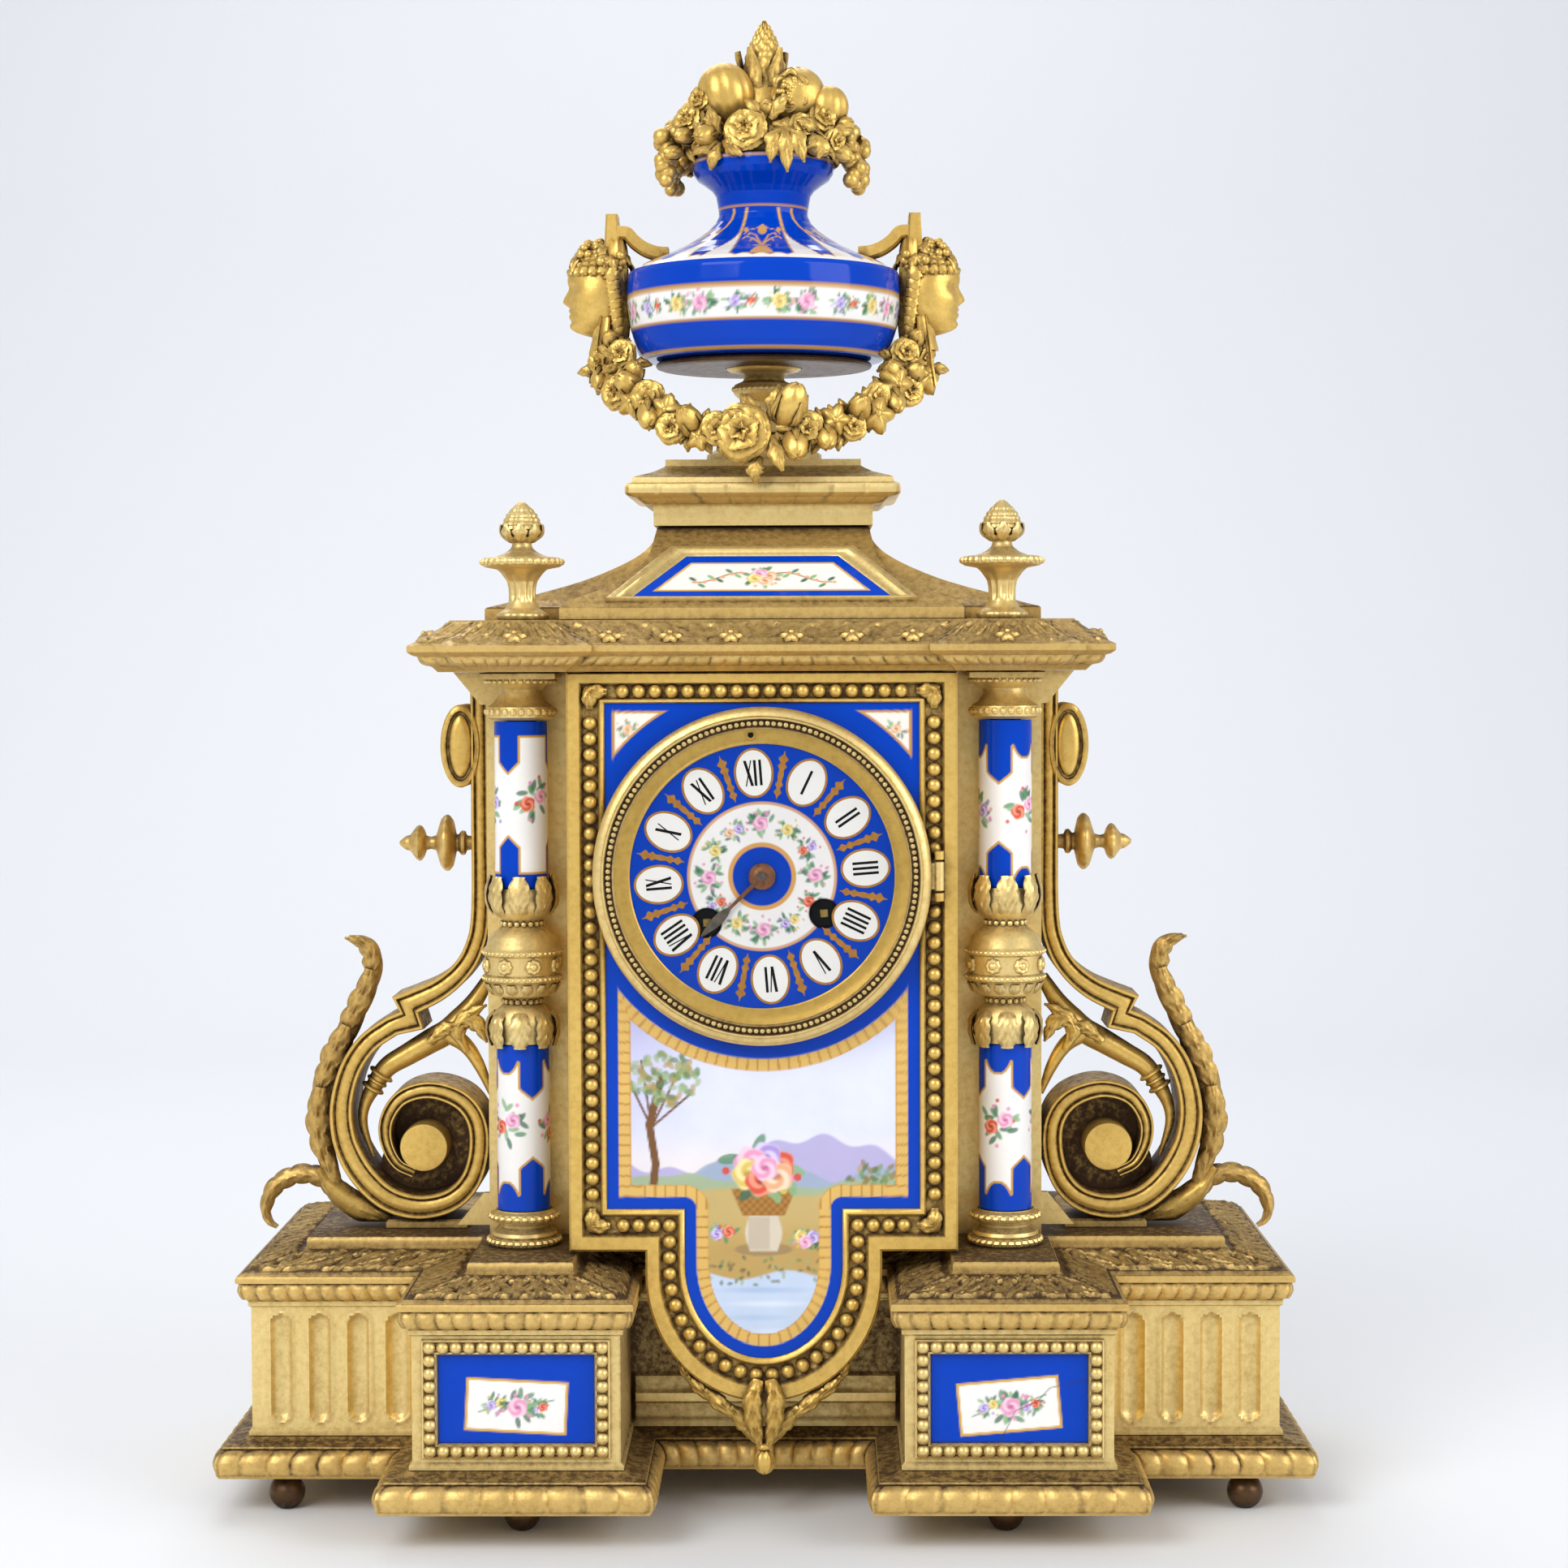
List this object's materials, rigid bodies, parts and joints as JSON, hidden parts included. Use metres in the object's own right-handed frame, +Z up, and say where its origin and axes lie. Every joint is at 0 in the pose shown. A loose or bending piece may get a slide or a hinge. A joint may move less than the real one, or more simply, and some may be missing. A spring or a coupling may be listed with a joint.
{
  "type": "mantel clock",
  "caption": "Mantel clock in gilt metal and blue painted porcelain, with a hinged dial glass, a pendulum movement, columns, scrolled sides, a stepped base and an urn of fruit on top.",
  "frame": {"origin": "on the ground, under the middle of the clock's box", "axes": "+Z up, the dial faces -Y, +X to the viewer's right"},
  "size_m": [0.368, 0.188, 0.5041],
  "materials": {
    "gilt": "gilt, satin, worn in the recesses",
    "dark_bronze": "dark patina",
    "brass": "polished",
    "steel": "polished",
    "blue_porcelain": "opaque glazed porcelain",
    "white_porcelain": "opaque glazed porcelain",
    "pane": "clear"
  },
  "bodies": {
    "clock": {"base_plinth": "gilt", "base_body": "gilt", "base_top": "gilt", "case": "gilt", "front_frame": "gilt", "apron_leaf": "gilt", "dial_ring": "gilt", "cornice": "gilt", "roof": "gilt", "roof_cap": "gilt", "urn_foot": "gilt", "urn_garland": "gilt", "urn_fruit": "gilt", "column_base_left": "gilt", "column_base_right": "gilt", "column_knop_left": "gilt", "column_knop_right": "gilt", "column_capital_left": "gilt", "column_capital_right": "gilt", "finial_left": "gilt", "finial_right": "gilt", "scroll_left": "gilt", "scroll_right": "gilt", "scroll_leaves_left": "gilt", "scroll_leaves_right": "gilt", "side_knob_left": "gilt", "side_knob_right": "gilt", "urn_mask_left": "gilt", "urn_mask_right": "gilt", "foot_front_left": "dark_bronze", "foot_front_right": "dark_bronze", "foot_pedestal_left": "dark_bronze", "foot_pedestal_right": "dark_bronze", "foot_back_left": "dark_bronze", "foot_back_right": "dark_bronze", "movement_plates": "brass", "bell": "brass", "plaque_left": "blue_porcelain", "plaque_right": "blue_porcelain", "column_lower_sleeve_left": "blue_porcelain", "column_lower_sleeve_right": "blue_porcelain", "column_upper_sleeve_left": "blue_porcelain", "column_upper_sleeve_right": "blue_porcelain", "front_panel": "blue_porcelain", "roof_plaque": "blue_porcelain", "urn_body": "blue_porcelain", "dial": "white_porcelain"},
    "bezel": {"bezel": "gilt", "bezel_glass": "pane"},
    "rear_door": {"rear_door": "brass"},
    "hour_hand": {"hour_hand": "dark_bronze"},
    "centre_arbor": {"centre_arbor": "steel"},
    "going_barrel": {"going_barrel": "brass"},
    "strike_barrel": {"strike_barrel": "brass"},
    "regulator_arbor": {"regulator_arbor": "steel"},
    "escape_wheel": {"escape_wheel": "brass"},
    "pendulum": {"pendulum": "brass", "anchor_crutch": "steel"},
    "hammer": {"hammer": "steel"}
  },
  "joints": [
    {"name": "bezel_hinge", "type": "hinge", "parent": "clock", "child": "bezel", "pos_m": [0.0578, -0.0566, 0.213], "axis": [0, 0, 1], "range_deg": [0, 110]},
    {"name": "rear_door_hinge", "type": "hinge", "parent": "clock", "child": "rear_door", "pos_m": [0.0482, 0.076, 0.173], "axis": [0, 0, -1], "range_deg": [0, 110]},
    {"name": "centre_arbor_turn", "type": "hinge", "parent": "clock", "child": "centre_arbor", "pos_m": [0, -0.045, 0.213], "axis": [0, 1, 0], "continuous": true},
    {"name": "hour_hand_turn", "type": "hinge", "parent": "clock", "child": "hour_hand", "pos_m": [0, -0.056, 0.213], "axis": [0, 1, 0], "continuous": true},
    {"name": "going_barrel_turn", "type": "hinge", "parent": "clock", "child": "going_barrel", "pos_m": [0.0202, -0.025, 0.20076], "axis": [0, 1, 0], "continuous": true},
    {"name": "strike_barrel_turn", "type": "hinge", "parent": "clock", "child": "strike_barrel", "pos_m": [-0.01809, -0.025, 0.19782], "axis": [0, 1, 0], "continuous": true},
    {"name": "regulator_turn", "type": "hinge", "parent": "clock", "child": "regulator_arbor", "pos_m": [-0.00356, -0.03, 0.25926], "axis": [0, 1, 0], "continuous": true},
    {"name": "escape_wheel_turn", "type": "hinge", "parent": "clock", "child": "escape_wheel", "pos_m": [-0.00161, -0.01, 0.23394], "axis": [0, 1, 0], "continuous": true},
    {"name": "pendulum_swing", "type": "hinge", "parent": "clock", "child": "pendulum", "pos_m": [-0.00261, 0.008, 0.2469], "axis": [0, 1, 0], "range_deg": [-4, 4]},
    {"name": "hammer_lift", "type": "hinge", "parent": "clock", "child": "hammer", "pos_m": [0.03398, 0.01, 0.20157], "axis": [0, 1, 0], "range_deg": [0, 12], "stiffness_Nm_per_rad": 0.02, "springref_deg": -17.19}
  ],
  "couplings": [
    {"joint": "hour_hand_turn", "follows": "centre_arbor_turn", "ratio": 0.083333}
  ]
}
